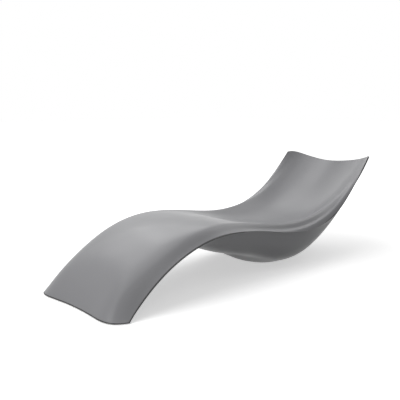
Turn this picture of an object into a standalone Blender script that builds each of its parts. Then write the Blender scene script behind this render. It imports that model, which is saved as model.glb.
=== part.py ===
"""Moulded sun lounger: two laminate shells bonded over ribs, standing on rubber glides.

X runs across the lounger, Y from the foot end to the head end and Z up.
The origin is on the floor, under the middle of the lounger.
"""

import math

import bpy
import numpy as np

# Overall sizes of the shells, in metres
LOUNGER_LENGTH = 2.00
LOUNGER_WIDTH = 0.67
RIM_HEIGHT = 0.57
SECTION_DEPTH = 0.10

# Laminate walls and the joint between the two shells
UPPER_WALL = 0.005
LOWER_WALL = 0.005
JOINT_LIP = 0.003
JOINT_INSET = 0.004
BOND_LINE = 0.0008
FIT_GAP = 0.0003

# Depth of the hollow leg and of the hollow back, skin to skin
LEG_DEPTH = 0.034
FOOT_DEPTH = 0.030
BACK_DEPTH = 0.060

# Plywood ribs, stringers and keel board inside the shells
RIB_THICKNESS = 0.012
RIB_HOLE_RADIUS = 0.020
RIB_HOLE_SPACING = 0.13
STRINGER_THICKNESS = 0.012
STRINGER_SPACING = 0.22
STRINGER_HOLE_SPACING = 0.09
KEEL_BOARD_THICKNESS = 0.012

# Hardwood block in the foot end
FOOT_BLOCK_HEIGHT = 0.050
FOOT_BLOCK_WIDTH = 0.42

# Rubber glides under the hull, which the whole lounger stands on
GLIDE_STAND = 0.004
GLIDE_RADIUS = 0.014
GLIDE_EDGE = 0.001
GLIDE_SPACING_X = 0.13
GLIDE_SPACING_Y = 0.06

# Rubber pads under the foot block
PAD_LENGTH = 0.060
PAD_WIDTH = 0.014
PAD_EDGE = 0.001
PAD_END_INSET = 0.03
PAD_SCREW_SPACING = 0.036

# Machine screws of the glides and the brass inserts that they turn into
HEAD_RADIUS = 0.0045
HEAD_HEIGHT = 0.0015
HEAD_EDGE = 0.0004
HEAD_RECESS = 0.0005
SOCKET_RADIUS = 0.0018
SOCKET_DEPTH = 0.0009
SHANK_RADIUS = 0.0025
SCREW_LENGTH = 0.016
INSERT_RADIUS = 0.0045
INSERT_HEIGHT = 0.010

# Wood screws of the pads, which have the same recess and head height
PAD_HEAD_RADIUS = 0.0035
PAD_SHANK_RADIUS = 0.0015
PAD_SCREW_LENGTH = 0.010

# Drain plug in the hull's floor
PLUG_RADIUS = 0.007
PLUG_FLANGE_RADIUS = 0.012
PLUG_FLANGE_HEIGHT = 0.0015
PLUG_HEIGHT = 0.014
PLUG_CLEARANCE = 0.002

# How far a cutter runs past what it cuts
CUT_OVERRUN = 0.002

# Where the control rows lie along the length, from the middle, as shares of it
STATION_SHARES = (-0.492, -0.464, -0.384, -0.287, -0.186, -0.064, 0.0725, 0.209, 0.348, 0.4885)
# Height of the middle line at each row, as shares of the rim height
CROWN_SHARES = (0.0, 0.195, 0.407, 0.554, 0.590, 0.511, 0.354, 0.331, 0.492, 0.911)
# Half width at each row, and where the columns lie across it
HALF_WIDTH_SHARES = (0.955, 0.915, 0.925, 0.95, 0.95, 0.96, 0.995, 1.015, 0.97, 0.912)
COLUMN_SHARES = (0.0, 0.25, 0.48, 0.68, 0.83, 0.915, 0.96, 1.0)
# Rise of each column over the middle line, in shares of the section depth: the leg's
# shoulders fall to side flanges, and the seat and back are a dish between two crests
SECTION_SHARES = (
    (0.0, 0.0, 0.0, 0.0, 0.0, 0.0, 0.0, 0.0),
    (0.0, 0.0, -0.04, -0.04, -0.31, -0.70, -0.87, -0.95),
    (0.0, 0.0, -0.04, -0.14, -0.32, -0.63, -0.79, -0.87),
    (0.0, -0.03, -0.10, -0.16, -0.26, -0.52, -0.64, -0.71),
    (0.0, -0.03, -0.05, -0.10, -0.13, -0.32, -0.44, -0.50),
    (0.0, 0.0, 0.0, 0.02, 0.12, -0.28, -0.22, -0.21),
    (0.0, 0.02, 0.07, 0.26, 0.58, 0.0, 0.20, 0.03),
    (0.0, 0.03, 0.10, 0.38, 0.82, 0.26, 0.54, 0.12),
    (0.0, 0.03, 0.12, 0.34, 0.64, 0.61, 0.53, 0.17),
    (0.0, 0.03, 0.12, 0.24, 0.39, 0.48, 0.51, 0.46),
)
# How far the two ends curve along Y, in shares of the section depth
FOOT_CURVE_SHARES = (0.0, -0.02, -0.09, -0.16, -0.07, 0.11, 0.33, 0.63)
HEAD_CURVE_SHARES = (0.0, 0.17, 0.26, 0.24, 0.08, -0.18, -0.40, -0.64)

# Keel of the hull at the four rows that carry it: along the length and up the rim height
HULL_FIRST_ROW = 4
KEEL_STATION_SHARES = (-0.140, -0.005, 0.040, 0.2325)
KEEL_HEIGHT_SHARES = (0.263, 0.172, -0.036, -0.045)
# The hull's sections at those rows, from the keel out to the edge: across the half width,
# then up and along from the keel's point to the edge's
HULL_ACROSS_SHARES = (
    (0.0, 0.20, 0.395, 0.605, 0.81, 0.92, 0.975, 1.0),
    (0.0, 0.19, 0.39, 0.60, 0.805, 0.92, 0.975, 1.0),
    (0.0, 0.20, 0.40, 0.615, 0.825, 0.935, 0.98, 1.0),
    (0.0, 0.205, 0.395, 0.585, 0.755, 0.87, 0.95, 1.0),
)
HULL_UP_SHARES = (
    (0.0, -0.02, -0.04, 0.01, 0.12, 0.40, 0.75, 1.0),
    (0.0, 0.02, 0.02, 0.02, 0.10, 0.40, 0.75, 1.0),
    (0.0, 0.03, 0.085, 0.21, 0.30, 0.48, 0.76, 1.0),
    (0.0, 0.0, 0.03, 0.15, 0.30, 0.53, 0.79, 1.0),
)
HULL_ALONG_SHARES = (
    (0.0, 0.12, 0.24, 0.34, 0.47, 0.65, 0.83, 1.0),
    (0.0, 0.0, 0.07, 0.21, 0.40, 0.63, 0.82, 1.0),
    (0.0, 0.0, 0.10, 0.22, 0.40, 0.62, 0.81, 1.0),
    (0.0, 0.23, 0.47, 0.72, 1.0, 1.10, 1.04, 1.0),
)
# How squarely the hollow leg and back close at their edges
HOLLOW_POWER = 6

# Planes of the ribs along the length, as shares of it, with the ribs' names
RIB_STATION_SHARES = {
    "shin_rib": -0.36,
    "knee_rib": -0.25,
    "waist_rib": -0.12,
    "stem_rib": -0.01,
    "seat_rib_front": 0.065,
    "seat_rib_rear": 0.175,
    "lumbar_rib": 0.27,
    "shoulder_rib": 0.38,
}
# Ribs that are deep enough for lightening holes
HOLED_RIBS = ("waist_rib", "stem_rib", "seat_rib_front", "seat_rib_rear", "lumbar_rib")
# Middle of the hull's flat floor along the length, as a share of it
FLOOR_STATION_SHARE = 0.1175

# Steps of the meshes
STEPS_ALONG = 42
STEPS_ACROSS = 26
FINE_STEPS = 400
ROUND_SEGMENTS = 16
CAVITY_MARGIN_STEPS = 3
# Where the joint's lip fades into the full wall, as shares of the surface's parameters
LIP_FADE_SHARE = 0.16


def clear_scene():
    for item in list(bpy.data.objects):
        bpy.data.objects.remove(item, do_unlink=True)


def make_material(name, colour, roughness, metallic=0.0):
    material = bpy.data.materials.new(name)
    material.use_nodes = True
    shader = material.node_tree.nodes["Principled BSDF"]
    shader.inputs["Base Color"].default_value = (*colour, 1.0)
    shader.inputs["Roughness"].default_value = roughness
    shader.inputs["Metallic"].default_value = metallic
    return material


def add_object(name, vertices, faces, material, smooth_angle=None):
    mesh = bpy.data.meshes.new(name)
    mesh.from_pydata([tuple(v) for v in vertices], [], faces)
    mesh.materials.append(material)
    mesh.validate()
    if smooth_angle is not None:
        mesh.shade_smooth()
        mesh.set_sharp_from_angle(angle=smooth_angle)
    item = bpy.data.objects.new(name, mesh)
    bpy.context.scene.collection.objects.link(item)
    return item


def hide_cutter(item):
    item.hide_render = True
    item.display_type = "WIRE"
    return item


def add_boolean(item, cutter, operation):
    modifier = item.modifiers.new(cutter.name, "BOOLEAN")
    modifier.operation = operation
    modifier.solver = "EXACT"
    modifier.object = cutter


def spline_weights(count, places):
    """Weights of a clamped cubic B-spline's control points at the given places, 0 to 1."""
    degree = 3
    inner = np.linspace(0.0, 1.0, count - degree + 1)
    knots = np.concatenate([np.zeros(degree), inner, np.ones(degree)])
    places = np.clip(places, 0.0, 1.0 - 1e-9)[:, None]
    weights = ((knots[:-1] <= places) & (places < knots[1:])).astype(float)
    for order in range(1, degree + 1):
        spans = knots[order:-1] - knots[:-order - 1]
        rising = np.where(spans > 0, (places - knots[:-order - 1]) / np.where(spans > 0, spans, 1), 0)
        later = knots[order + 1:]
        spans = later - knots[1:-order]
        falling = np.where(spans > 0, (later - places) / np.where(spans > 0, spans, 1), 0)
        weights = rising * weights[:, :-1] + falling * weights[:, 1:]
    return weights


def smooth_step(value):
    value = np.clip(value, 0.0, 1.0)
    return value * value * (3.0 - 2.0 * value)


def unit(vectors):
    return vectors / np.linalg.norm(vectors, axis=-1, keepdims=True)


def upper_cage():
    """Half cage of the upper surface: rows along the length, columns from middle to edge."""
    rows = len(STATION_SHARES)
    cage = np.zeros((rows, len(COLUMN_SHARES), 3))
    half_widths = np.array(HALF_WIDTH_SHARES) * LOUNGER_WIDTH / 2
    cage[..., 0] = half_widths[:, None] * np.array(COLUMN_SHARES)
    cage[..., 1] = (np.array(STATION_SHARES) * LOUNGER_LENGTH)[:, None]
    cage[..., 2] = (np.array(CROWN_SHARES) * RIM_HEIGHT)[:, None]
    cage[..., 2] += np.array(SECTION_SHARES) * SECTION_DEPTH
    foot_curve = np.array(FOOT_CURVE_SHARES) * SECTION_DEPTH
    head_curve = np.array(HEAD_CURVE_SHARES) * SECTION_DEPTH
    cage[0, :, 1] += foot_curve
    cage[1, :, 1] += foot_curve / 2
    cage[-2, :, 1] += head_curve / 2
    cage[-1, :, 1] += head_curve
    return cage


def cage_normals(half):
    """Outward directions at a half cage's points, level in the foot end's row."""
    cage = full_cage(half)
    normals = np.cross(np.gradient(cage, axis=1), np.gradient(cage, axis=0))
    normals[0, :, 2] = 0.0
    return unit(normals)[:, half.shape[1] - 1:]


def lower_cage(upper):
    """Half cage of the lower surface: hollow leg, hull and hollow back share the edges."""
    lower = upper.copy()
    depths = np.zeros(len(upper))
    depths[:HULL_FIRST_ROW] = LEG_DEPTH
    depths[0] = FOOT_DEPTH
    depths[-2] = BACK_DEPTH
    fade = 1.0 - np.array(COLUMN_SHARES) ** HOLLOW_POWER
    lower -= cage_normals(upper) * (depths[:, None] * fade)[..., None]
    for index, station in enumerate(KEEL_STATION_SHARES):
        row = HULL_FIRST_ROW + index
        edge = upper[row, -1]
        keel_y = station * LOUNGER_LENGTH
        keel_z = KEEL_HEIGHT_SHARES[index] * RIM_HEIGHT
        lower[row, :, 0] = edge[0] * np.array(HULL_ACROSS_SHARES[index])
        lower[row, :, 1] = keel_y + (edge[1] - keel_y) * np.array(HULL_ALONG_SHARES[index])
        lower[row, :, 2] = keel_z + (edge[2] - keel_z) * np.array(HULL_UP_SHARES[index])
    return lower


def full_cage(half):
    mirrored = half[:, :0:-1].copy()
    mirrored[..., 0] *= -1
    return np.concatenate([mirrored, half], axis=1)


def surface(cage, along, across):
    row_weights = spline_weights(cage.shape[0], along)
    column_weights = spline_weights(cage.shape[1], across)
    return np.einsum("ti,ijk,uj->tuk", row_weights, cage, column_weights)


def surface_normals(cage, along, across):
    """Unit normals that point up on a level part of the surface."""
    step = 1e-4
    ahead = surface(cage, np.minimum(along + step, 1.0), across)
    behind = surface(cage, np.maximum(along - step, 0.0), across)
    right = surface(cage, along, np.minimum(across + step, 1.0))
    left = surface(cage, along, np.maximum(across - step, 0.0))
    return unit(np.cross(right - left, ahead - behind))


def even_places(cage):
    """Places along the surface that are equally far apart on its middle line."""
    fine = np.linspace(0.0, 1.0, FINE_STEPS)
    line = surface(cage, fine, np.array([0.5]))[:, 0]
    lengths = np.concatenate([[0.0], np.cumsum(np.linalg.norm(np.diff(line, axis=0), axis=1))])
    wanted = np.linspace(0.0, lengths[-1], STEPS_ALONG + 1)
    return np.interp(wanted, lengths, fine)


def flattened(normals, tilt):
    """The normals with their upward part kept only by the share that tilt gives."""
    flat = normals.copy()
    flat[..., 2] *= tilt
    return unit(flat)


def shell_points():
    """Grids of points for both skins of both shells, raised by the glides' stand."""
    upper_half = upper_cage()
    upper = full_cage(upper_half)
    lower = full_cage(lower_cage(upper_half))
    along = even_places(upper)
    across = np.linspace(0.0, 1.0, STEPS_ACROSS + 1)
    lift = np.array([0.0, 0.0, GLIDE_STAND])

    upper_out = surface(upper, along, across) + lift
    tilt = smooth_step(along / LIP_FADE_SHARE)
    upper_normals = flattened(surface_normals(upper, along, across), tilt[:, None])
    upper_in = upper_out - upper_normals * UPPER_WALL

    lower_out = surface(lower, along, across) + lift
    inward = flattened(surface_normals(lower, along, across), tilt[:, None])

    side = np.minimum(across, 1.0 - across)[None, :] / (LIP_FADE_SHARE / 2)
    head = (1.0 - along)[:, None] / LIP_FADE_SHARE
    side_keep = smooth_step(side) * np.ones((len(along), 1))
    head_keep = smooth_step(head) * np.ones((1, len(across)))
    wall = JOINT_LIP + (LOWER_WALL - JOINT_LIP) * side_keep * head_keep

    def joint_place(edge_line, next_line, normals, lower_inward, edge_tilt):
        """Where the lower skin starts: inset along the upper's underside and below it."""
        across_line = next_line - edge_line
        level = unit(np.cross(across_line, np.gradient(edge_line, axis=0)))
        level *= np.sign((level * normals).sum(-1, keepdims=True))
        level = flattened(level, edge_tilt)
        reach = np.linalg.norm(across_line, axis=-1, keepdims=True)
        seat = edge_line + across_line * (JOINT_INSET / reach)
        drop = BOND_LINE + JOINT_LIP * np.maximum(0.0, (level * lower_inward).sum(-1, keepdims=True))
        return seat - level * drop

    shift = np.zeros_like(lower_out)
    for edge, beside, sign in ((0, 1, -1), (-1, -2, 1)):
        lines = (upper_in[:, edge], upper_in[:, beside])
        place = joint_place(*lines, upper_normals[:, edge], inward[:, edge], tilt)
        half = (across * sign > 0.5 * sign) | np.isclose(across, 0.5)
        weight = np.where(half[None, :], 1.0 - side_keep, 0.0)
        shift += weight[..., None] * (place - lower_out[:, edge])[:, None]
    place = joint_place(upper_in[-1], upper_in[-2], upper_normals[-1], inward[-1], 1.0)
    end_shift = (place - lower_out[-1])[None]
    shift += ((1.0 - head_keep) * side_keep)[..., None] * end_shift

    lower_out = lower_out + shift
    lower_out[..., 2] = np.maximum(lower_out[..., 2], GLIDE_STAND)
    lower_in = lower_out + inward * wall[..., None]
    above_base = np.maximum(lower_in[..., 2], GLIDE_STAND + LOWER_WALL)
    lower_in[1:, 1:-1, 2] = above_base[1:, 1:-1]
    ys = np.concatenate([grid[..., 1].ravel() for grid in (upper_out, upper_in, lower_out)])
    centre = np.array([0.0, (ys.min() + ys.max()) / 2, 0.0])
    return {
        "upper_out": upper_out - centre,
        "upper_in": upper_in - centre,
        "upper_normals": upper_normals,
        "lower_out": lower_out - centre,
        "lower_in": lower_in - centre,
        "inward": inward,
    }


def grid_faces(rows, columns, first, up):
    """Triangles of a grid, with diagonals that mirror about its middle column."""
    faces = []
    for row in range(rows - 1):
        for column in range(columns - 1):
            a = first + row * columns + column
            b = a + 1
            c = b + columns
            d = a + columns
            if column < (columns - 1) / 2:
                pair = [(a, b, c), (a, c, d)]
            else:
                pair = [(a, b, d), (b, c, d)]
            faces += pair if up else [tri[::-1] for tri in pair]
    return faces


def border(rows, columns):
    """The grid's rim as one loop of point numbers, turning the same way as its upper faces."""
    loop = [column for column in range(columns)]
    loop += [row * columns + columns - 1 for row in range(1, rows)]
    loop += [(rows - 1) * columns + column for column in range(columns - 2, -1, -1)]
    loop += [row * columns for row in range(rows - 2, 0, -1)]
    return loop


def add_sheet(name, top, bottom, material, smooth_angle=None):
    """Closed solid between two grids of the same size, the first one above the other."""
    rows, columns = top.shape[:2]
    count = rows * columns
    faces = grid_faces(rows, columns, 0, True)
    faces += grid_faces(rows, columns, count, False)
    rim = border(rows, columns)
    for here, there in zip(rim, rim[1:] + rim[:1]):
        faces.append((there, here, here + count, there + count))
    points = np.concatenate([top.reshape(-1, 3), bottom.reshape(-1, 3)])
    return add_object(name, points, faces, material, smooth_angle)


def add_box(name, low, high, material, edge=0.0):
    xs, ys, zs = zip(low, high)
    points = [(x, y, z) for z in zs for y in ys for x in xs]
    faces = [(0, 2, 3, 1), (4, 5, 7, 6), (0, 1, 5, 4), (2, 6, 7, 3), (0, 4, 6, 2), (1, 3, 7, 5)]
    item = add_object(name, points, faces, material)
    if edge:
        bevel = item.modifiers.new("soft_edges", "BEVEL")
        bevel.width = edge
        bevel.segments = 2
    return item


def circle(x, y, z, radius, segments):
    angles = [2 * math.pi * step / segments for step in range(segments)]
    return [(x + radius * math.cos(angle), y + radius * math.sin(angle), z) for angle in angles]


def add_turned(name, profile, centre, material):
    """Solid turned about a vertical axis; the profile's (radius, height) pairs go round a
    closed outline, or from axis to axis."""
    points = []
    rings = []
    for radius, height in profile:
        segments = ROUND_SEGMENTS if radius else 1
        rings.append(list(range(len(points), len(points) + segments)))
        points += circle(centre[0], centre[1], centre[2] + height, radius, segments)
    closed = profile[0][0] != 0
    next_rings = rings[1:] + rings[:1] if closed else rings[1:]
    faces = []
    for low, high in zip(rings, next_rings):
        for step in range(ROUND_SEGMENTS):
            following = (step + 1) % ROUND_SEGMENTS
            if len(low) == 1:
                faces.append((low[0], high[following], high[step]))
            elif len(high) == 1:
                faces.append((low[step], low[following], high[0]))
            else:
                faces.append((low[step], low[following], high[following], high[step]))
    return add_object(name, points, faces, material, math.radians(40))


def add_rods(name, rods, turn=None, segments=ROUND_SEGMENTS):
    """One hidden cutter of rods along Z, given as (x, y, low, high, radius); turn maps each
    point to where it belongs."""
    points = []
    faces = []
    for x, y, low, high, radius in rods:
        first = len(points)
        points += circle(x, y, low, radius, segments) + circle(x, y, high, radius, segments)
        bottom = list(range(first, first + segments))
        top = [number + segments for number in bottom]
        faces += [bottom[::-1], top]
        for step in range(segments):
            following = (step + 1) % segments
            faces.append((bottom[step], bottom[following], top[following], top[step]))
    if turn is not None:
        points = [turn(point) for point in points]
    mesh = bpy.data.meshes.new(name)
    mesh.from_pydata(points, [], faces)
    item = bpy.data.objects.new(name, mesh)
    bpy.context.scene.collection.objects.link(item)
    return hide_cutter(item)


def along_x(point):
    """Turns a rod given as (y, z, x) to lie along X."""
    return (point[2], point[0], point[1])


def along_y(point):
    """Turns a rod given as (z, x, y) to lie along Y."""
    return (point[1], point[2], point[0])


def height_at(grid, x, y):
    """Height of a grid of points over one place of the floor."""
    row_ys = [np.interp(x, row[:, 0], row[:, 1]) for row in grid]
    row_zs = [np.interp(x, row[:, 0], row[:, 2]) for row in grid]
    return float(np.interp(y, row_ys, row_zs))


def middle_height(points, x, y):
    return (height_at(points["upper_in"], x, y) + height_at(points["lower_in"], x, y)) / 2


def add_cavity(points, material):
    """Hidden solid that fills the hollow between the shells, a fit gap inside the walls."""
    inside = (slice(0, -CAVITY_MARGIN_STEPS), slice(CAVITY_MARGIN_STEPS, -CAVITY_MARGIN_STEPS))
    top = (points["upper_in"] - points["upper_normals"] * FIT_GAP)[inside]
    bottom = (points["lower_in"] + points["inward"] * FIT_GAP)[inside]
    return hide_cutter(add_sheet("cavity", top, bottom, material))


def floor_centre_y():
    return FLOOR_STATION_SHARE * LOUNGER_LENGTH


def glide_places():
    half_x = GLIDE_SPACING_X / 2
    half_y = GLIDE_SPACING_Y / 2
    sides = (("left", -half_x), ("right", half_x))
    ends = (("front", -half_y), ("rear", half_y))
    return {f"{end}_{side}": (x, floor_centre_y() + y) for end, y in ends for side, x in sides}


def foot_middle(points, x):
    """Place halfway between the skins at the foot end."""
    skins = (points["upper_in"][0], points["lower_in"][0])
    return x, float(sum(np.interp(x, skin[:, 0], skin[:, 1]) for skin in skins) / len(skins))


def pad_places(points):
    half = (FOOT_BLOCK_WIDTH - PAD_LENGTH) / 2 - PAD_END_INSET
    return {"left": foot_middle(points, -half), "right": foot_middle(points, half)}


def pad_screw_places(points, x):
    """Places of the two screws of the pad whose middle is at x."""
    half = math.copysign(PAD_SCREW_SPACING / 2, x)
    return {"outer": foot_middle(points, x + half), "inner": foot_middle(points, x - half)}


def rib_y(name):
    return RIB_STATION_SHARES[name] * LOUNGER_LENGTH


def add_shells(points, gelcoat):
    angle = math.radians(35)
    add_sheet("upper_shell", points["upper_out"], points["upper_in"], gelcoat, angle)
    lower = add_sheet("lower_shell", points["lower_in"], points["lower_out"], gelcoat, angle)
    low = GLIDE_STAND - CUT_OVERRUN
    high = GLIDE_STAND + LOWER_WALL + CUT_OVERRUN
    rods = [(x, y, low, high, SHANK_RADIUS + FIT_GAP) for x, y in glide_places().values()]
    rods.append((0.0, floor_centre_y(), low, high, PLUG_RADIUS + FIT_GAP))
    add_boolean(lower, add_rods("hull_holes", rods), "DIFFERENCE")


def add_ribs(points, cavity, plywood):
    """Upright ribs across the hollow, cut to its section, the deep ones with round holes."""
    for name in RIB_STATION_SHARES:
        middle = rib_y(name)
        low = (-LOUNGER_WIDTH, middle - RIB_THICKNESS / 2, 0.0)
        high = (LOUNGER_WIDTH, middle + RIB_THICKNESS / 2, RIM_HEIGHT + SECTION_DEPTH)
        rib = add_box(name, low, high, plywood)
        add_boolean(rib, cavity, "INTERSECT")
        if name not in HOLED_RIBS:
            continue
        ends = (low[1] - CUT_OVERRUN, high[1] + CUT_OVERRUN)
        xs = (-RIB_HOLE_SPACING, 0.0, RIB_HOLE_SPACING)
        rods = [(middle_height(points, x, middle), x, *ends, RIB_HOLE_RADIUS) for x in xs]
        add_boolean(rib, add_rods(f"{name}_holes", rods, along_y), "DIFFERENCE")


def stringer_ends():
    """Where the stringers and the keel board start and stop, a fit gap from the seat ribs."""
    clear = RIB_THICKNESS / 2 + FIT_GAP
    return rib_y("seat_rib_front") + clear, rib_y("seat_rib_rear") - clear


def add_stringers(points, cavity, plywood):
    start, stop = stringer_ends()
    middle = (start + stop) / 2
    for side, x in (("left", -STRINGER_SPACING / 2), ("right", STRINGER_SPACING / 2)):
        name = f"seat_stringer_{side}"
        low = (x - STRINGER_THICKNESS / 2, start, 0.0)
        high = (x + STRINGER_THICKNESS / 2, stop, RIM_HEIGHT)
        stringer = add_box(name, low, high, plywood)
        add_boolean(stringer, cavity, "INTERSECT")
        ends = (low[0] - CUT_OVERRUN, high[0] + CUT_OVERRUN)
        ys = (middle - STRINGER_HOLE_SPACING / 2, middle + STRINGER_HOLE_SPACING / 2)
        rods = [(y, middle_height(points, x, y), *ends, RIB_HOLE_RADIUS) for y in ys]
        add_boolean(stringer, add_rods(f"{name}_holes", rods, along_x), "DIFFERENCE")


def add_keel_board(cavity, plywood):
    """Board on the hull's floor, between the stringers and the seat ribs."""
    start, stop = stringer_ends()
    half_width = (STRINGER_SPACING - STRINGER_THICKNESS) / 2 - FIT_GAP
    bottom = GLIDE_STAND + LOWER_WALL
    top = bottom + KEEL_BOARD_THICKNESS
    board = add_box("keel_board", (-half_width, start, 0.0), (half_width, stop, top), plywood)
    add_boolean(board, cavity, "INTERSECT")
    ends = (bottom - CUT_OVERRUN, top + CUT_OVERRUN)
    rods = [(x, y, *ends, INSERT_RADIUS + FIT_GAP) for x, y in glide_places().values()]
    rods.append((0.0, floor_centre_y(), *ends, PLUG_RADIUS + PLUG_CLEARANCE))
    add_boolean(board, add_rods("keel_board_holes", rods), "DIFFERENCE")


def add_inserts(brass):
    """Threaded bushes in the keel board, one over each glide."""
    bore = SHANK_RADIUS + FIT_GAP
    base = GLIDE_STAND + LOWER_WALL + FIT_GAP
    profile = [(bore, 0.0), (INSERT_RADIUS, 0.0), (INSERT_RADIUS, INSERT_HEIGHT), (bore, INSERT_HEIGHT)]
    for place, (x, y) in glide_places().items():
        add_turned(f"insert_{place}", profile, (x, y, base), brass)


def add_screw(name, x, y, head_radius, shank_radius, length, steel):
    """Screw with its head down, sunk in the rubber, and a hexagon socket in the head."""
    profile = [
        (0.0, 0.0),
        (head_radius - HEAD_EDGE, 0.0),
        (head_radius, HEAD_EDGE),
        (head_radius, HEAD_HEIGHT),
        (shank_radius, HEAD_HEIGHT),
        (shank_radius, length),
        (0.0, length),
    ]
    screw = add_turned(name, profile, (x, y, HEAD_RECESS), steel)
    rods = [(x, y, -CUT_OVERRUN, HEAD_RECESS + SOCKET_DEPTH, SOCKET_RADIUS)]
    add_boolean(screw, add_rods(f"{name}_socket", rods, segments=6), "DIFFERENCE")


def head_bore_depth():
    return HEAD_RECESS + HEAD_HEIGHT + FIT_GAP


def add_glides(rubber, steel):
    top = GLIDE_STAND - FIT_GAP
    bore = SHANK_RADIUS + FIT_GAP
    head_bore = HEAD_RADIUS + FIT_GAP
    profile = [
        (head_bore, 0.0),
        (GLIDE_RADIUS - GLIDE_EDGE, 0.0),
        (GLIDE_RADIUS, GLIDE_EDGE),
        (GLIDE_RADIUS, top),
        (bore, top),
        (bore, head_bore_depth()),
        (head_bore, head_bore_depth()),
    ]
    for place, (x, y) in glide_places().items():
        add_turned(f"glide_{place}", profile, (x, y, 0.0), rubber)
        add_screw(f"glide_screw_{place}", x, y, HEAD_RADIUS, SHANK_RADIUS, SCREW_LENGTH, steel)


def add_foot_block(points, cavity, hardwood):
    """Block that closes the foot end, flush with the shells' lower edges."""
    top = GLIDE_STAND + FOOT_BLOCK_HEIGHT
    half = FOOT_BLOCK_WIDTH / 2
    low = (-half, -LOUNGER_LENGTH, 0.0)
    block = add_box("foot_block", low, (half, 0.0, top), hardwood)
    add_boolean(block, cavity, "INTERSECT")
    depth = HEAD_RECESS + PAD_SCREW_LENGTH + FIT_GAP
    radius = PAD_SHANK_RADIUS + FIT_GAP
    rods = []
    for middle_x, _ in pad_places(points).values():
        for x, y in pad_screw_places(points, middle_x).values():
            rods.append((x, y, GLIDE_STAND - CUT_OVERRUN, depth, radius))
    add_boolean(block, add_rods("foot_block_holes", rods), "DIFFERENCE")


def add_pads(points, rubber, steel):
    top = GLIDE_STAND - FIT_GAP
    for side, (x, y) in pad_places(points).items():
        low = (x - PAD_LENGTH / 2, y - PAD_WIDTH / 2, 0.0)
        high = (x + PAD_LENGTH / 2, y + PAD_WIDTH / 2, top)
        pad = add_box(f"foot_pad_{side}", low, high, rubber, PAD_EDGE)
        rods = []
        for place, (screw_x, screw_y) in pad_screw_places(points, x).items():
            rods.append((screw_x, screw_y, -CUT_OVERRUN, head_bore_depth(), PAD_HEAD_RADIUS + FIT_GAP))
            name = f"foot_pad_screw_{side}_{place}"
            sizes = (PAD_HEAD_RADIUS, PAD_SHANK_RADIUS, PAD_SCREW_LENGTH)
            add_screw(name, screw_x, screw_y, *sizes, steel)
        add_boolean(pad, add_rods(f"foot_pad_{side}_heads", rods), "DIFFERENCE")
        shanks = [(rod[0], rod[1], 0.0, GLIDE_STAND, PAD_SHANK_RADIUS + FIT_GAP) for rod in rods]
        add_boolean(pad, add_rods(f"foot_pad_{side}_shanks", shanks), "DIFFERENCE")


def add_drain_plug(plastic):
    """Plug in the middle of the hull's floor, its flange under the laminate."""
    underside = GLIDE_STAND - FIT_GAP - PLUG_FLANGE_HEIGHT
    profile = [
        (0.0, 0.0),
        (PLUG_FLANGE_RADIUS, 0.0),
        (PLUG_FLANGE_RADIUS, PLUG_FLANGE_HEIGHT),
        (PLUG_RADIUS, PLUG_FLANGE_HEIGHT),
        (PLUG_RADIUS, PLUG_HEIGHT),
        (0.0, PLUG_HEIGHT),
    ]
    add_turned("hull_drain_plug", profile, (0.0, floor_centre_y(), underside), plastic)


def main():
    clear_scene()
    gelcoat = make_material("grey_gelcoat", (0.21, 0.21, 0.215), 0.42)
    plywood = make_material("marine_plywood", (0.50, 0.33, 0.18), 0.7)
    hardwood = make_material("hardwood", (0.36, 0.20, 0.10), 0.65)
    rubber = make_material("black_rubber", (0.02, 0.02, 0.02), 0.8)
    steel = make_material("stainless_steel", (0.55, 0.55, 0.56), 0.3, 1.0)
    brass = make_material("brass", (0.72, 0.52, 0.22), 0.3, 1.0)
    plastic = make_material("grey_plastic", (0.12, 0.12, 0.125), 0.5)
    points = shell_points()
    cavity = add_cavity(points, gelcoat)
    add_shells(points, gelcoat)
    add_foot_block(points, cavity, hardwood)
    add_ribs(points, cavity, plywood)
    add_stringers(points, cavity, plywood)
    add_keel_board(cavity, plywood)
    add_inserts(brass)
    add_glides(rubber, steel)
    add_pads(points, rubber, steel)
    add_drain_plug(plastic)


main()
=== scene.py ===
"""Looks of the moulded sun lounger: fine shells, painted shade along the edge, gelcoat and studio
light.
"""

import math

import bpy
import numpy as np
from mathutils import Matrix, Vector

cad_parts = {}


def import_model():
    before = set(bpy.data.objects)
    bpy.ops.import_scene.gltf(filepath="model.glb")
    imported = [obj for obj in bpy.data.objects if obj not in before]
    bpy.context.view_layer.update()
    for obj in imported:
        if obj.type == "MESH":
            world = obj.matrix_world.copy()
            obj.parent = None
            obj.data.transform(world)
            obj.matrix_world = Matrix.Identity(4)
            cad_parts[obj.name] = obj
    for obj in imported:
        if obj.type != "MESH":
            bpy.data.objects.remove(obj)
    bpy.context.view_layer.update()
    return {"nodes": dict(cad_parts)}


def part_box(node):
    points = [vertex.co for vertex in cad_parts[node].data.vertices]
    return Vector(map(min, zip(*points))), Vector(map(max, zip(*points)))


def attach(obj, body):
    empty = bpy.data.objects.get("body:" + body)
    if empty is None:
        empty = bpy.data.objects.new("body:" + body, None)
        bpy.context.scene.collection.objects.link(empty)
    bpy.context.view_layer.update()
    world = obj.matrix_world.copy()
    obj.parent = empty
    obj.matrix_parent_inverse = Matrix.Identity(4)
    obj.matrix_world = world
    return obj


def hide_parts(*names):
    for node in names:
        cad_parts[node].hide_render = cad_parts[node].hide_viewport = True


# Sizes of the shells, in metres, as in the CAD
LOUNGER_LENGTH = 2.00
LOUNGER_WIDTH = 0.67
RIM_HEIGHT = 0.57
SECTION_DEPTH = 0.10
UPPER_WALL = 0.005
LOWER_WALL = 0.005
JOINT_LIP = 0.003
JOINT_INSET = 0.004
BOND_LINE = 0.0008
FIT_GAP = 0.0003
LEG_DEPTH = 0.034
FOOT_DEPTH = 0.030
BACK_DEPTH = 0.060
GLIDE_STAND = 0.004
SHANK_RADIUS = 0.0025
PLUG_RADIUS = 0.007
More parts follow.
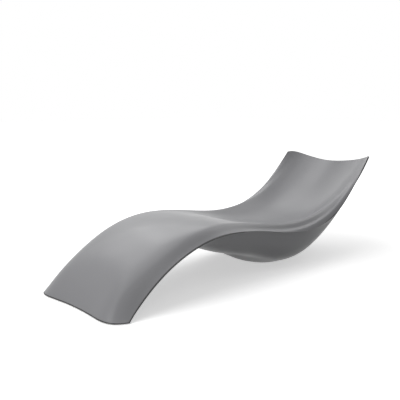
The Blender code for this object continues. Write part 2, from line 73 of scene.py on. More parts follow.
CUT_OVERRUN = 0.002

# Control rows and columns of the shells, as in the CAD
STATION_SHARES = (-0.492, -0.464, -0.384, -0.287, -0.186, -0.064, 0.0725, 0.209, 0.348, 0.4885)
CROWN_SHARES = (0.0, 0.195, 0.407, 0.554, 0.590, 0.511, 0.354, 0.331, 0.492, 0.911)
HALF_WIDTH_SHARES = (0.955, 0.915, 0.925, 0.95, 0.95, 0.96, 0.995, 1.015, 0.97, 0.912)
COLUMN_SHARES = (0.0, 0.25, 0.48, 0.68, 0.83, 0.915, 0.96, 1.0)
SECTION_SHARES = (
    (0.0, 0.0, 0.0, 0.0, 0.0, 0.0, 0.0, 0.0),
    (0.0, 0.0, -0.04, -0.04, -0.31, -0.70, -0.87, -0.95),
    (0.0, 0.0, -0.04, -0.14, -0.32, -0.63, -0.79, -0.87),
    (0.0, -0.03, -0.10, -0.16, -0.26, -0.52, -0.64, -0.71),
    (0.0, -0.03, -0.05, -0.10, -0.13, -0.32, -0.44, -0.50),
    (0.0, 0.0, 0.0, 0.02, 0.12, -0.28, -0.22, -0.21),
    (0.0, 0.02, 0.07, 0.26, 0.58, 0.0, 0.20, 0.03),
    (0.0, 0.03, 0.10, 0.38, 0.82, 0.26, 0.54, 0.12),
    (0.0, 0.03, 0.12, 0.34, 0.64, 0.61, 0.53, 0.17),
    (0.0, 0.03, 0.12, 0.24, 0.39, 0.48, 0.51, 0.46),
)
FOOT_CURVE_SHARES = (0.0, -0.02, -0.09, -0.16, -0.07, 0.11, 0.33, 0.63)
HEAD_CURVE_SHARES = (0.0, 0.17, 0.26, 0.24, 0.08, -0.18, -0.40, -0.64)
HULL_FIRST_ROW = 4
KEEL_STATION_SHARES = (-0.140, -0.005, 0.040, 0.2325)
KEEL_HEIGHT_SHARES = (0.263, 0.172, -0.036, -0.045)
HULL_ACROSS_SHARES = (
    (0.0, 0.20, 0.395, 0.605, 0.81, 0.92, 0.975, 1.0),
    (0.0, 0.19, 0.39, 0.60, 0.805, 0.92, 0.975, 1.0),
    (0.0, 0.20, 0.40, 0.615, 0.825, 0.935, 0.98, 1.0),
    (0.0, 0.205, 0.395, 0.585, 0.755, 0.87, 0.95, 1.0),
)
HULL_UP_SHARES = (
    (0.0, -0.02, -0.04, 0.01, 0.12, 0.40, 0.75, 1.0),
    (0.0, 0.02, 0.02, 0.02, 0.10, 0.40, 0.75, 1.0),
    (0.0, 0.03, 0.085, 0.21, 0.30, 0.48, 0.76, 1.0),
    (0.0, 0.0, 0.03, 0.15, 0.30, 0.53, 0.79, 1.0),
)
HULL_ALONG_SHARES = (
    (0.0, 0.12, 0.24, 0.34, 0.47, 0.65, 0.83, 1.0),
    (0.0, 0.0, 0.07, 0.21, 0.40, 0.63, 0.82, 1.0),
    (0.0, 0.0, 0.10, 0.22, 0.40, 0.62, 0.81, 1.0),
    (0.0, 0.23, 0.47, 0.72, 1.0, 1.10, 1.04, 1.0),
)
HOLLOW_POWER = 6
LIP_FADE_SHARE = 0.16

# Steps of the fine meshes, their rounded rims, and the angle from which an edge stays sharp
STEPS_ALONG = 168
STEPS_ACROSS = 104
FINE_STEPS = 800
RIM_ROUND = 0.0016
LIP_ROUND = 0.0008
RIM_SEGMENTS = 3
SHARP_ANGLE = math.radians(50)
# Shares of the way along or across: how far a place stays off the end, and a normal's step
END_MARGIN_SHARE = 1e-9
SLOPE_STEP_SHARE = 1e-4

# Camera fitted to the photograph, in metres, degrees and pixels
CAMERA_PLACE = (2.0810, -2.2222, 0.8655)
CAMERA_AZIMUTH = 46.17
CAMERA_PITCH = 9.29
CAMERA_FOCUS_PX = 563.1
CAMERA_NEAR = 0.05
IMAGE_PX = 400
SENSOR_MM = 36.0

# Holes in the hull's floor
HOLE_SEGMENTS = 32
DRAIN_PLUG = "hull_drain_plug"
GLIDE_SCREWS = [
    f"glide_screw_{end}_{side}"
    for end in ("front", "rear")
    for side in ("left", "right")
]

# Nodes: usual detail and span of a noise, a wave's detail, and the colour sockets of Mix,
# which go by number because their names occur more than once
NOISE_DETAIL = 3.0
NOISE_SPAN = (0.3, 0.7)
WAVE_DETAIL = 1.0
MIX_FACTOR = 0
MIX_FIRST = 6
MIX_SECOND = 7
MIX_RESULT = 2

# Gelcoat: colours, gloss, and the scales of its clouds, speckle, dull patches and orange peel
GELCOAT_DARK = (0.249, 0.249, 0.260)
GELCOAT_PALE = (0.269, 0.269, 0.281)
GELCOAT_SPECK = (0.20, 0.20, 0.209)
GELCOAT_SPECKLE_SHARE = 0.25
GELCOAT_SPECULAR = 0.36
GELCOAT_ROUGHNESS = (0.28, 0.34)
CLOUD_SCALE = 2.5
SPECKLE_SCALE = 700.0
SPECKLE_DETAIL = 1.0
PATCH_SCALE = 11.0
PEEL_SCALE = 420.0
PEEL_DETAIL = 2.0
PEEL_STRENGTH = 0.05
PEEL_HEIGHT = 0.0004

# Painted shade: a dark band on the upper shell's top along its edge, standing in for the shade
# under the rim.
# Its width and the soft part of it, the stretch in Y where it narrows to nothing, how fast it
# does so, and its colours
EDGE_SHADE_LAYER = "edge_shade_depth"
EDGE_SHADE_REACH = 0.0075
EDGE_SHADE_SOFTNESS = 0.0015
EDGE_SHADE_LEG_END_Y = -0.36
EDGE_SHADE_BACK_START_Y = 0.50
EDGE_SHADE_TAPER_SHARE = 0.05
EDGE_SHADE_PALE = (0.055, 0.055, 0.057)
EDGE_SHADE_DARK = (0.035, 0.035, 0.036)
EDGE_SHADE_TONE_SCALE = 90.0

# Wood: pale and dark colours, the grain's scales along X, Y and Z, and the glued plies
BIRCH = ((0.58, 0.42, 0.26), (0.36, 0.23, 0.12))
BEECH = ((0.40, 0.24, 0.13), (0.25, 0.13, 0.065))
RIB_GRAIN = (6.0, 240.0, 90.0)
STRINGER_GRAIN = (240.0, 6.0, 90.0)
BOARD_GRAIN = (90.0, 6.0, 240.0)
BLOCK_GRAIN = (5.0, 140.0, 70.0)
GRAIN_DETAIL = 6.0
GRAIN_STRENGTH = 0.25
GRAIN_HEIGHT = 0.0005
WOOD_ROUGHNESS = (0.58, 0.74)
PLY_SCALE = 160.0
PLY_WAVER = 0.3
PLY_SHARE = 0.55
PLY_SPAN = (0.2, 0.8)

# Rubber, metals and plastic: two colours each, roughness, and the scales of wear and grain
RUBBER = ((0.016, 0.016, 0.017), (0.05, 0.05, 0.048))
RUBBER_ROUGHNESS = (0.72, 0.9)
SCUFF_SCALE = 60.0
SCUFF_DETAIL = 4.0
SCUFF_SHARE = 0.6
SCUFF_SPAN = (0.5, 0.8)
RUBBER_WEAR_SCALE = 90.0
RUBBER_GRAIN_SCALE = 1500.0
RUBBER_GRAIN_DETAIL = 2.0
RUBBER_GRAIN_STRENGTH = 0.3
RUBBER_GRAIN_HEIGHT = 0.0002
STEEL = ((0.60, 0.60, 0.61), (0.50, 0.50, 0.51))
STEEL_ROUGHNESS = (0.24, 0.38)
BRASS = ((0.76, 0.56, 0.26), (0.64, 0.45, 0.18))
BRASS_ROUGHNESS = (0.26, 0.40)
TOOL_MARK_SCALE = 900.0
TOOL_MARK_WAVER = 0.6
TOOL_MARK_STRENGTH = 0.15
TOOL_MARK_HEIGHT = 0.00005
METAL_TONE_SCALE = 300.0
METAL_POLISH_SCALE = 400.0
PLASTIC = ((0.105, 0.105, 0.11), (0.135, 0.135, 0.14))
PLASTIC_ROUGHNESS = (0.44, 0.58)
PLASTIC_TONE_SCALE = 80.0
PLASTIC_WEAR_SCALE = 200.0
PLASTIC_GRAIN_SCALE = 1800.0
PLASTIC_GRAIN_DETAIL = 1.0
PLASTIC_GRAIN_STRENGTH = 0.2
PLASTIC_GRAIN_HEIGHT = 0.0001

# Studio: the floor as it is seen and as it bounces light, the sky and the soft lights
WHITE = (1.0, 1.0, 1.0, 1.0)
FLOOR_HALF = 30.0
FLOOR_SEEN = 0.95
FLOOR_GLOW = 0.52
FLOOR_GLOW_RADII = (1.4, 2.6)
FLOOR_BOUNCE = 0.40
SKY_STRENGTH = 0.19
LIGHT_AIM_HEIGHT = 0.25
LIGHT_DISTANCE = 4.0
# Each light's name, azimuth and elevation in degrees, size in metres and power in watts
LIGHTS = (
    ("overhead", 325, 70, 3.6, 54.0),
    ("front", 0, 20, 2.0, 47.0),
    ("left", 270, 45, 2.0, 23.0),
    ("left_rear", 240, 45, 2.0, 19.0),
    ("rear", 180, 45, 2.0, 15.0),
    ("right", 60, 45, 2.0, 9.0),
)


def spline_weights(count, places):
    """Weights of a clamped cubic B-spline's control points at the given places, 0 to 1."""
    degree = 3
    inner = np.linspace(0.0, 1.0, count - degree + 1)
    knots = np.concatenate([np.zeros(degree), inner, np.ones(degree)])
    places = np.clip(places, 0.0, 1.0 - END_MARGIN_SHARE)[:, None]
    weights = ((knots[:-1] <= places) & (places < knots[1:])).astype(float)
    for order in range(1, degree + 1):
        earlier = knots[:-order - 1]
        spans = knots[order:-1] - earlier
        rising = np.where(spans > 0, (places - earlier) / np.where(spans > 0, spans, 1), 0)
        later = knots[order + 1:]
        spans = later - knots[1:-order]
        falling = np.where(spans > 0, (later - places) / np.where(spans > 0, spans, 1), 0)
        weights = rising * weights[:, :-1] + falling * weights[:, 1:]
    return weights


def smooth_step(value):
    value = np.clip(value, 0.0, 1.0)
    return value * value * (3.0 - 2.0 * value)


def unit(vectors):
    return vectors / np.linalg.norm(vectors, axis=-1, keepdims=True)


def upper_cage():
    """Half cage of the upper surface: rows along the length, columns from middle to edge."""
    cage = np.zeros((len(STATION_SHARES), len(COLUMN_SHARES), 3))
    half_widths = np.array(HALF_WIDTH_SHARES) * LOUNGER_WIDTH / 2
    cage[..., 0] = half_widths[:, None] * np.array(COLUMN_SHARES)
    cage[..., 1] = (np.array(STATION_SHARES) * LOUNGER_LENGTH)[:, None]
    cage[..., 2] = (np.array(CROWN_SHARES) * RIM_HEIGHT)[:, None]
    cage[..., 2] += np.array(SECTION_SHARES) * SECTION_DEPTH
    foot_curve = np.array(FOOT_CURVE_SHARES) * SECTION_DEPTH
    head_curve = np.array(HEAD_CURVE_SHARES) * SECTION_DEPTH
    cage[0, :, 1] += foot_curve
    cage[1, :, 1] += foot_curve / 2
    cage[-2, :, 1] += head_curve / 2
    cage[-1, :, 1] += head_curve
    return cage


def full_cage(half):
    """The half cage and its mirror image, from the left edge to the right one."""
    mirrored = half[:, :0:-1].copy()
    mirrored[..., 0] *= -1
    return np.concatenate([mirrored, half], axis=1)


def cage_normals(half):
    """Outward directions at a half cage's points, level in the foot end's row."""
    cage = full_cage(half)
    normals = np.cross(np.gradient(cage, axis=1), np.gradient(cage, axis=0))
    normals[0, :, 2] = 0.0
    return unit(normals)[:, half.shape[1] - 1:]


def lower_cage(upper):
    """Half cage of the lower surface: hollow leg, hull and hollow back share the edges."""
    lower = upper.copy()
    depths = np.zeros(len(upper))
    depths[:HULL_FIRST_ROW] = LEG_DEPTH
    depths[0] = FOOT_DEPTH
    depths[-2] = BACK_DEPTH
    fade = 1.0 - np.array(COLUMN_SHARES) ** HOLLOW_POWER
    lower -= cage_normals(upper) * (depths[:, None] * fade)[..., None]
    for index, station in enumerate(KEEL_STATION_SHARES):
        row = HULL_FIRST_ROW + index
        edge = upper[row, -1]
        keel_y = station * LOUNGER_LENGTH
        keel_z = KEEL_HEIGHT_SHARES[index] * RIM_HEIGHT
        lower[row, :, 0] = edge[0] * np.array(HULL_ACROSS_SHARES[index])
        lower[row, :, 1] = keel_y + (edge[1] - keel_y) * np.array(HULL_ALONG_SHARES[index])
        lower[row, :, 2] = keel_z + (edge[2] - keel_z) * np.array(HULL_UP_SHARES[index])
    return lower


def surface(cage, along, across):
    """Grid of the surface's points at the given places along and across it."""
    row_weights = spline_weights(cage.shape[0], along)
    column_weights = spline_weights(cage.shape[1], across)
    return np.einsum("ti,ijk,uj->tuk", row_weights, cage, column_weights)


def surface_normals(cage, along, across):
    """Unit normals that point up on a level part of the surface."""
    ahead = surface(cage, np.minimum(along + SLOPE_STEP_SHARE, 1.0), across)
    behind = surface(cage, np.maximum(along - SLOPE_STEP_SHARE, 0.0), across)
    right = surface(cage, along, np.minimum(across + SLOPE_STEP_SHARE, 1.0))
    left = surface(cage, along, np.maximum(across - SLOPE_STEP_SHARE, 0.0))
    return unit(np.cross(right - left, ahead - behind))


def even_places(cage):
    """Places along the surface that are equally far apart on its middle line."""
    fine = np.linspace(0.0, 1.0, FINE_STEPS)
    line = surface(cage, fine, np.array([0.5]))[:, 0]
    lengths = np.concatenate([[0.0], np.cumsum(np.linalg.norm(np.diff(line, axis=0), axis=1))])
    wanted = np.linspace(0.0, lengths[-1], STEPS_ALONG + 1)
    return np.interp(wanted, lengths, fine)


def flattened(normals, tilt):
    """The normals with their upward part kept only by the share that tilt gives."""
    flat = normals.copy()
    flat[..., 2] *= tilt
    return unit(flat)


def joint_place(edge_line, next_line, normals, lower_inward, edge_tilt):
    """Where the lower skin starts: inset along the upper's underside and below it."""
    across_line = next_line - edge_line
    level = unit(np.cross(across_line, np.gradient(edge_line, axis=0)))
    level *= np.sign((level * normals).sum(-1, keepdims=True))
    level = flattened(level, edge_tilt)
    reach = np.linalg.norm(across_line, axis=-1, keepdims=True)
    seat = edge_line + across_line * (JOINT_INSET / reach)
    drop = BOND_LINE + JOINT_LIP * np.maximum(0.0, (level * lower_inward).sum(-1, keepdims=True))
    return seat - level * drop


def foot_tilt(along):
    """Share that normals keep of their upward part: none at the foot end, all further on."""
    return smooth_step(along / LIP_FADE_SHARE)


def skin(cage, along, across):
    """A surface's points, raised by the glides' stand, and its normals, level at the foot end."""
    points = surface(cage, along, across) + np.array([0.0, 0.0, GLIDE_STAND])
    normals = surface_normals(cage, along, across)
    return points, flattened(normals, foot_tilt(along)[:, None])


def keep_shares(along, across):
    """Shares of its own shape that the lower skin keeps: none on the side edges and head end."""
    side = np.minimum(across, 1.0 - across)[None, :] / (LIP_FADE_SHARE / 2)
    head = (1.0 - along)[:, None] / LIP_FADE_SHARE
    side_keep = smooth_step(side) * np.ones((len(along), 1))
    head_keep = smooth_step(head) * np.ones((1, len(across)))
    return side_keep, head_keep


def joint_shift(along, across, upper_in, upper_normals, lower_out, inward):
    """How far the lower skin's points move, so that its edges lie along the joint."""
    tilt = foot_tilt(along)
    side_keep, head_keep = keep_shares(along, across)
    shift = np.zeros_like(lower_out)
    left = (0, 1, -1)
    right = (-1, -2, 1)
    for edge, beside, sign in (left, right):
        lines = (upper_in[:, edge], upper_in[:, beside])
        place = joint_place(*lines, upper_normals[:, edge], inward[:, edge], tilt)
        half = (across * sign > 0.5 * sign) | np.isclose(across, 0.5)
        weight = np.where(half[None, :], 1.0 - side_keep, 0.0)
        shift += weight[..., None] * (place - lower_out[:, edge])[:, None]
    place = joint_place(upper_in[-1], upper_in[-2], upper_normals[-1], inward[-1], 1.0)
    shift += ((1.0 - head_keep) * side_keep)[..., None] * (place - lower_out[-1])[None]
    return shift


def shell_points():
    """Grids of points for both skins of both shells, centred on the origin along Y."""
    upper_half = upper_cage()
    upper = full_cage(upper_half)
    lower = full_cage(lower_cage(upper_half))
    along = even_places(upper)
    across = np.linspace(0.0, 1.0, STEPS_ACROSS + 1)
    upper_out, upper_normals = skin(upper, along, across)
    upper_in = upper_out - upper_normals * UPPER_WALL

    lower_out, inward = skin(lower, along, across)
    lower_out += joint_shift(along, across, upper_in, upper_normals, lower_out, inward)
    lower_out[..., 2] = np.maximum(lower_out[..., 2], GLIDE_STAND)
    side_keep, head_keep = keep_shares(along, across)
    wall = JOINT_LIP + (LOWER_WALL - JOINT_LIP) * side_keep * head_keep
    lower_in = lower_out + inward * wall[..., None]
    # The hull's floor keeps its full wall; the foot end and the side edges stay as they are
    floor_top = np.maximum(lower_in[..., 2], GLIDE_STAND + LOWER_WALL)
    lower_in[1:, 1:-1, 2] = floor_top[1:, 1:-1]

    ys = np.concatenate([grid[..., 1].ravel() for grid in (upper_out, upper_in, lower_out)])
    centre = np.array([0.0, (ys.min() + ys.max()) / 2, 0.0])
    return upper_out - centre, upper_in - centre, lower_out - centre, lower_in - centre


def grid_faces(rows, columns, first, up):
    """Quads of a grid whose points start at the number first, facing up or down."""
    faces = []
    for row in range(rows - 1):
        for column in range(columns - 1):
            a = first + row * columns + column
            face = (a, a + 1, a + 1 + columns, a + columns)
            faces.append(face if up else face[::-1])
    return faces


def border(rows, columns):
    """Numbers of a grid's outer points, once around it."""
    loop = list(range(columns))
    loop += [row * columns + columns - 1 for row in range(1, rows)]
    loop += [(rows - 1) * columns + column for column in range(columns - 2, -1, -1)]
    loop += [row * columns for row in range(rows - 2, 0, -1)]
    return loop


def add_sheet(name, top, bottom):
    """Closed solid between two grids of the same size, the first one above the other."""
    rows, columns = top.shape[:2]
    count = rows * columns
    faces = grid_faces(rows, columns, 0, True)
    faces += grid_faces(rows, columns, count, False)
    rim = border(rows, columns)
    for here, there in zip(rim, rim[1:] + rim[:1]):
        faces.append((there, here, here + count, there + count))
    points = np.concatenate([top.reshape(-1, 3), bottom.reshape(-1, 3)])
    mesh = bpy.data.meshes.new(name)
    mesh.from_pydata(points.tolist(), [], faces)
    mesh.validate()
    item = bpy.data.objects.new(name, mesh)
    bpy.context.scene.collection.objects.link(item)
    smooth(item)
    return item


def smooth(item):
    item.data.shade_smooth()
    item.data.set_sharp_from_angle(angle=SHARP_ANGLE)


def add_cutter(name, rods):
    """Upright rods as one mesh, given as (x, y, low, high, radius).

    They are turned by half a segment, so that no corner lies on the shell's middle line.
    """
    points = []
    faces = []
    for x, y, low, high, radius in rods:
        first = len(points)
        for z in (low, high):
            for step in range(HOLE_SEGMENTS):
                angle = 2 * math.pi * (step + 0.5) / HOLE_SEGMENTS
                place_x = x + radius * math.cos(angle)
                place_y = y + radius * math.sin(angle)
                points.append((place_x, place_y, z))
        bottom = list(range(first, first + HOLE_SEGMENTS))
        top = [number + HOLE_SEGMENTS for number in bottom]
        faces += [bottom[::-1], top]
        for here, there in zip(range(HOLE_SEGMENTS), [*range(1, HOLE_SEGMENTS), 0]):
            faces.append((bottom[here], bottom[there], top[there], top[here]))
    mesh = bpy.data.meshes.new(name)
    mesh.from_pydata(points, [], faces)
    item = bpy.data.objects.new(name, mesh)
    bpy.context.scene.collection.objects.link(item)
    return item


def cut_hull_holes(shell):
    """Holes in the hull's floor for the glides' screws and the drain plug."""
    low = GLIDE_STAND - CUT_OVERRUN
    high = GLIDE_STAND + LOWER_WALL + CUT_OVERRUN
    rods = []
    for name in [*GLIDE_SCREWS, DRAIN_PLUG]:
        lowest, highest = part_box(name)
        middle = (lowest + highest) / 2
        radius = PLUG_RADIUS if name == DRAIN_PLUG else SHANK_RADIUS
        rods.append((middle.x, middle.y, low, high, radius + FIT_GAP))
    cutter = add_cutter("hull_hole_cutter", rods)
    holes = shell.modifiers.new("holes", "BOOLEAN")
    holes.operation = "DIFFERENCE"
    holes.object = cutter
    graph = bpy.context.evaluated_depsgraph_get()
    shell.data = bpy.data.meshes.new_from_object(shell.evaluated_get(graph))
    shell.modifiers.clear()
    bpy.data.objects.remove(cutter)
    smooth(shell)


def mark_edge_shade(shell, grid):
    """Stores how deep each point lies in the band of painted shade at the foot end, the leg and
    the back.

    The shell has the grid's points twice, first for its top and then for its underside.
    """
    left, right = (np.linalg.norm(grid - grid[:, [edge]], axis=-1) for edge in (0, -1))
    foot = np.linalg.norm(grid - grid[:1], axis=-1)
    distance = np.minimum(np.minimum(left, right), foot)
    # Painted shade: the band is deepest at the edge and narrows away along the seat's stretch
    bare = np.minimum(grid[..., 1] - EDGE_SHADE_LEG_END_Y, EDGE_SHADE_BACK_START_Y - grid[..., 1])
    taper = EDGE_SHADE_TAPER_SHARE * np.maximum(0.0, bare)
    depth = (EDGE_SHADE_REACH - distance - taper).ravel()
    layer = shell.data.attributes.new(EDGE_SHADE_LAYER, "FLOAT", "POINT")
    layer.data.foreach_set("value", np.concatenate([depth, depth]))


def add_shells(gelcoat):
    """The two fine shells, with rounded rims, in place of the CAD's plainer ones."""
    upper_out, upper_in, lower_out, lower_in = shell_points()
    upper = add_sheet("upper_shell_fine", upper_out, upper_in)
    lower = add_sheet("lower_shell_fine", lower_in, lower_out)
    mark_edge_shade(upper, upper_out)
    cut_hull_holes(lower)
    rims = ((upper, "upper_shell", RIM_ROUND), (lower, "lower_shell", LIP_ROUND))
    for shell, node, width in rims:
        shell.data.materials.clear()
        shell.data.materials.append(gelcoat)
        bevel = shell.modifiers.new("rim", "BEVEL")
        bevel.width = width
        bevel.segments = RIM_SEGMENTS
        bevel.limit_method = "ANGLE"
        bevel.angle_limit = SHARP_ANGLE
        bevel.harden_normals = True
        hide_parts(node)
        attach(shell, "root")


class Shading:
    """A node material with short calls for the nodes that its finish needs."""

    def __init__(self, name):
        self.material = bpy.data.materials.new(name)
        self.material.use_nodes = True
        self.nodes = self.material.node_tree.nodes
        self.links = self.material.node_tree.links
        self.shader = self.nodes["Principled BSDF"]
        self.place = self.nodes.new("ShaderNodeTexCoord").outputs["Object"]

    def stretched(self, scale):
        """The place with each axis scaled, so that noise runs along the least scaled one."""
        mapping = self.nodes.new("ShaderNodeMapping")
        mapping.inputs["Scale"].default_value = scale
        self.links.new(self.place, mapping.inputs["Vector"])
        return mapping.outputs["Vector"]

    def layer(self, name):
        """A value that the mesh stores at its points, and 0 where it stores none."""
        attribute = self.nodes.new("ShaderNodeAttribute")
        attribute.attribute_name = name
        return attribute.outputs["Fac"]

    def noise(self, scale, detail=NOISE_DETAIL, place=None):
        noise = self.nodes.new("ShaderNodeTexNoise")
        noise.inputs["Scale"].default_value = scale
        noise.inputs["Detail"].default_value = detail
        self.links.new(place or self.place, noise.inputs["Vector"])
        return noise.outputs["Fac"]

    def bands(self, scale, direction, distortion):
        wave = self.nodes.new("ShaderNodeTexWave")
        wave.bands_direction = direction
        wave.inputs["Scale"].default_value = scale
        wave.inputs["Distortion"].default_value = distortion
        wave.inputs["Detail"].default_value = WAVE_DETAIL
        self.links.new(self.place, wave.inputs["Vector"])
        return wave.outputs["Fac"]

    def ranged(self, value, low, high, span=NOISE_SPAN):
        """The value's span stretched to run from low to high."""
        node = self.nodes.new("ShaderNodeMapRange")
        span_low, span_high = span
        node.inputs["From Min"].default_value = span_low
        node.inputs["From Max"].default_value = span_high
        node.inputs["To Min"].default_value = low
        node.inputs["To Max"].default_value = high
        self.links.new(value, node.inputs["Value"])
        return node.outputs["Result"]

    def mixed(self, factor, first, second):
        """A colour between two; each is a fixed colour or another node's output."""
        mix = self.nodes.new("ShaderNodeMix")
        mix.data_type = "RGBA"
        self.links.new(factor, mix.inputs[MIX_FACTOR])
        for number, colour in ((MIX_FIRST, first), (MIX_SECOND, second)):
            if isinstance(colour, tuple):
                mix.inputs[number].default_value = (*colour, 1.0)
            else:
                self.links.new(colour, mix.inputs[number])
        return mix.outputs[MIX_RESULT]

    def coloured(self, colour):
        self.links.new(colour, self.shader.inputs["Base Color"])

    def roughened(self, value, low, high):
        self.links.new(self.ranged(value, low, high), self.shader.inputs["Roughness"])

    def bumped(self, height, strength, distance):
        bump = self.nodes.new("ShaderNodeBump")
        bump.inputs["Strength"].default_value = strength
        bump.inputs["Distance"].default_value = distance
        self.links.new(height, bump.inputs["Height"])
        self.links.new(bump.outputs["Normal"], self.shader.inputs["Normal"])


def gelcoat_material():
    """Satin grey gelcoat with clouds, speckle, a slight orange peel and a band of painted shade
    along the edge.
    """
    finish = Shading("satin_grey_gelcoat")
    haze = finish.ranged(finish.noise(CLOUD_SCALE), 0.0, 1.0)
    clouds = finish.mixed(haze, GELCOAT_DARK, GELCOAT_PALE)
    specks = finish.noise(SPECKLE_SCALE, SPECKLE_DETAIL)
    speckle = finish.ranged(specks, 0.0, GELCOAT_SPECKLE_SHARE)
    gelcoat = finish.mixed(speckle, clouds, GELCOAT_SPECK)
    # Painted shade along the rim: a dark band darkens the gelcoat near the upper shell's edge
    edge_shade_share = finish.ranged(finish.layer(EDGE_SHADE_LAYER), 0.0, 1.0, (0.0, EDGE_SHADE_SOFTNESS))
    edge_shade_colour = finish.mixed(finish.noise(EDGE_SHADE_TONE_SCALE), EDGE_SHADE_PALE, EDGE_SHADE_DARK)
    finish.coloured(finish.mixed(edge_shade_share, gelcoat, edge_shade_colour))
    finish.roughened(finish.noise(PATCH_SCALE), *GELCOAT_ROUGHNESS)
    finish.shader.inputs["Specular IOR Level"].default_value = GELCOAT_SPECULAR
    finish.bumped(finish.noise(PEEL_SCALE, PEEL_DETAIL), PEEL_STRENGTH, PEEL_HEIGHT)
    return finish.material


def wood_material(name, pale, dark, grain_scale, ply_direction=None):
    """Wood with its grain along the least scaled axis, and plies stacked along one axis."""
    finish = Shading(name)
    grain = finish.noise(1.0, GRAIN_DETAIL, finish.stretched(grain_scale))
    colour = finish.mixed(finish.ranged(grain, 0.0, 1.0), pale, dark)
    if ply_direction:
        plies = finish.bands(PLY_SCALE, ply_direction, PLY_WAVER)
        glue = finish.ranged(plies, 0.0, PLY_SHARE, PLY_SPAN)
        colour = finish.mixed(glue, colour, dark)
    finish.coloured(colour)
    finish.roughened(grain, *WOOD_ROUGHNESS)
    finish.bumped(grain, GRAIN_STRENGTH, GRAIN_HEIGHT)
    return finish.material


def rubber_material():
    """Matt black rubber with a moulded grain and pale scuffs."""
    finish = Shading("black_rubber_matt")
    wear = finish.noise(SCUFF_SCALE, SCUFF_DETAIL)
    finish.coloured(finish.mixed(finish.ranged(wear, 0.0, SCUFF_SHARE, SCUFF_SPAN), *RUBBER))
    finish.roughened(finish.noise(RUBBER_WEAR_SCALE), *RUBBER_ROUGHNESS)
    grain = finish.noise(RUBBER_GRAIN_SCALE, RUBBER_GRAIN_DETAIL)
    finish.bumped(grain, RUBBER_GRAIN_STRENGTH, RUBBER_GRAIN_HEIGHT)
    return finish.material


def metal_material(name, colours, roughness):
    """Turned metal: fine rings of tool marks and a slightly uneven polish."""
    finish = Shading(name)
    finish.shader.inputs["Metallic"].default_value = 1.0
    marks = finish.bands(TOOL_MARK_SCALE, "Z", TOOL_MARK_WAVER)
    tone = finish.ranged(finish.noise(METAL_TONE_SCALE), 0.0, 1.0)
    finish.coloured(finish.mixed(tone, *colours))
    finish.roughened(finish.noise(METAL_POLISH_SCALE), *roughness)
    finish.bumped(marks, TOOL_MARK_STRENGTH, TOOL_MARK_HEIGHT)
    return finish.material


def plastic_material():
    """Grey moulded plastic with a spark-eroded grain."""
    finish = Shading("grey_plastic_grained")
    finish.coloured(finish.mixed(finish.noise(PLASTIC_TONE_SCALE), *PLASTIC))
    finish.roughened(finish.noise(PLASTIC_WEAR_SCALE), *PLASTIC_ROUGHNESS)
    grain = finish.noise(PLASTIC_GRAIN_SCALE, PLASTIC_GRAIN_DETAIL)
    finish.bumped(grain, PLASTIC_GRAIN_STRENGTH, PLASTIC_GRAIN_HEIGHT)
    return finish.material


def dress_nodes(nodes):
    """Gives every carried-over CAD node the first finish whose word is in the node's name."""
    rubber = rubber_material()
    finishes = (
        ("_screw", metal_material("stainless_steel_turned", STEEL, STEEL_ROUGHNESS)),
        ("_rib", wood_material("marine_plywood_rib", *BIRCH, RIB_GRAIN, "Y")),
        ("seat_stringer", wood_material("marine_plywood_stringer", *BIRCH, STRINGER_GRAIN, "X")),
        ("keel_board", wood_material("marine_plywood_board", *BIRCH, BOARD_GRAIN, "Z")),
        ("foot_block", wood_material("hardwood_block", *BEECH, BLOCK_GRAIN)),
        ("insert", metal_material("brass_turned", BRASS, BRASS_ROUGHNESS)),
        ("drain_plug", plastic_material()),
        ("glide", rubber),
        ("foot_pad", rubber),
    )
    for name, node in nodes.items():
        if name in ("upper_shell", "lower_shell"):
            continue
        finish = next(material for word, material in finishes if word in name)
        for slot in node.material_slots:
            slot.material = finish


def add_camera():
    """Camera at the photograph's place; azimuth turns from +Y towards -X, pitch looks down."""
    data = bpy.data.cameras.new("photo_camera")
    data.sensor_width = SENSOR_MM
    data.lens = CAMERA_FOCUS_PX * SENSOR_MM / IMAGE_PX
    data.clip_start = CAMERA_NEAR
    camera = bpy.data.objects.new("photo_camera", data)
    azimuth = math.radians(CAMERA_AZIMUTH)
    pitch = math.radians(CAMERA_PITCH)
    level = math.cos(pitch)
    ahead = Vector((-math.sin(azimuth) * level, math.cos(azimuth) * level, -math.sin(pitch)))
    camera.location = CAMERA_PLACE
    camera.rotation_euler = ahead.to_track_quat("-Z", "Y").to_euler()
    bpy.context.scene.collection.objects.link(camera)
    bpy.context.scene.camera = camera


def seen_rays(nodes, links):
    """1 for camera, glossy and transmission rays, which see the white studio, and else 0."""
    rays = nodes.new("ShaderNodeLightPath")
    total = rays.outputs["Is Camera Ray"]
    for kind in ("Is Glossy Ray", "Is Transmission Ray"):
        larger = nodes.new("ShaderNodeMath")
        larger.operation = "MAXIMUM"
        links.new(total, larger.inputs[0])
        links.new(rays.outputs[kind], larger.inputs[1])
        total = larger.outputs[0]
    return total


def grey(level):
    return (level, level, level, 1.0)


def floor_glow(nodes, links):
    """Glow that rises from the object outwards, to full white beyond its shadow."""
    place = nodes.new("ShaderNodeTexCoord")
    radius = nodes.new("ShaderNodeVectorMath")
    radius.operation = "LENGTH"
    links.new(place.outputs["Object"], radius.inputs[0])
    strength = nodes.new("ShaderNodeMapRange")
    nearest, furthest = FLOOR_GLOW_RADII
    strength.inputs["From Min"].default_value = nearest
    strength.inputs["From Max"].default_value = furthest
    strength.inputs["To Min"].default_value = FLOOR_GLOW
    strength.inputs["To Max"].default_value = 1.0
    links.new(radius.outputs["Value"], strength.inputs["Value"])
    glow = nodes.new("ShaderNodeEmission")
    links.new(strength.outputs["Result"], glow.inputs["Strength"])
    return glow.outputs[0]


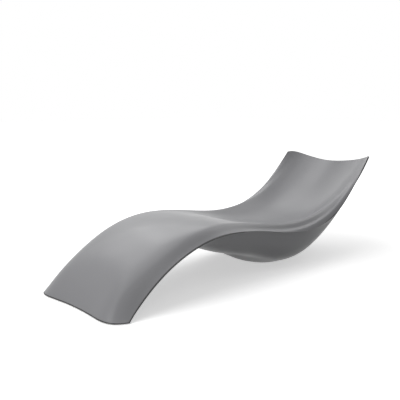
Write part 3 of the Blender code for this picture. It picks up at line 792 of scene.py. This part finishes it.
def floor_material():
    """White where it is seen, with the object's shadow, and a dull grey for bounced light."""
    material = bpy.data.materials.new("studio_floor")
    material.use_nodes = True
    nodes = material.node_tree.nodes
    links = material.node_tree.links
    nodes.remove(nodes["Principled BSDF"])
    seen = nodes.new("ShaderNodeBsdfDiffuse")
    seen.inputs["Color"].default_value = grey(FLOOR_SEEN)
    both = nodes.new("ShaderNodeAddShader")
    links.new(seen.outputs[0], both.inputs[0])
    links.new(floor_glow(nodes, links), both.inputs[1])
    bounce = nodes.new("ShaderNodeBsdfDiffuse")
    bounce.inputs["Color"].default_value = grey(FLOOR_BOUNCE)
    pick = nodes.new("ShaderNodeMixShader")
    links.new(seen_rays(nodes, links), pick.inputs[0])
    links.new(bounce.outputs[0], pick.inputs[1])
    links.new(both.outputs[0], pick.inputs[2])
    links.new(pick.outputs[0], nodes["Material Output"].inputs["Surface"])
    return material


def add_floor():
    corners = [(-FLOOR_HALF, -FLOOR_HALF, 0), (FLOOR_HALF, -FLOOR_HALF, 0)]
    corners += [(FLOOR_HALF, FLOOR_HALF, 0), (-FLOOR_HALF, FLOOR_HALF, 0)]
    mesh = bpy.data.meshes.new("floor")
    mesh.from_pydata(corners, [], [(0, 1, 2, 3)])
    mesh.materials.append(floor_material())
    floor = bpy.data.objects.new("floor", mesh)
    bpy.context.scene.collection.objects.link(floor)


def add_world():
    """A white studio where it is seen, and a soft even sky for the light."""
    world = bpy.data.worlds.new("studio")
    world.use_nodes = True
    nodes = world.node_tree.nodes
    links = world.node_tree.links
    white = nodes["Background"]
    white.inputs["Color"].default_value = WHITE
    white.inputs["Strength"].default_value = 1.0
    sky = nodes.new("ShaderNodeBackground")
    sky.name = "sky"
    sky.inputs["Color"].default_value = WHITE
    sky.inputs["Strength"].default_value = SKY_STRENGTH
    pick = nodes.new("ShaderNodeMixShader")
    links.new(seen_rays(nodes, links), pick.inputs[0])
    links.new(sky.outputs[0], pick.inputs[1])
    links.new(white.outputs[0], pick.inputs[2])
    links.new(pick.outputs[0], nodes["World Output"].inputs["Surface"])
    bpy.context.scene.world = world


def add_light(name, azimuth, elevation, size, power):
    """Square soft light aimed at the object; azimuth 0 is the foot end's side, 90 is +X."""
    data = bpy.data.lights.new(name, "AREA")
    data.shape = "SQUARE"
    data.size = size
    data.energy = power
    light = bpy.data.objects.new(name, data)
    turn = math.radians(azimuth)
    rise = math.radians(elevation)
    level = math.cos(rise)
    away = Vector((level * math.sin(turn), -level * math.cos(turn), math.sin(rise)))
    light.location = Vector((0.0, 0.0, LIGHT_AIM_HEIGHT)) + away * LIGHT_DISTANCE
    light.rotation_euler = (-away).to_track_quat("-Z", "Y").to_euler()
    bpy.context.scene.collection.objects.link(light)


def main():
    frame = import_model()
    add_shells(gelcoat_material())
    dress_nodes(frame["nodes"])
    add_camera()
    add_floor()
    add_world()
    for light in LIGHTS:
        add_light(*light)
    bpy.context.scene.view_settings.view_transform = "Standard"


main()
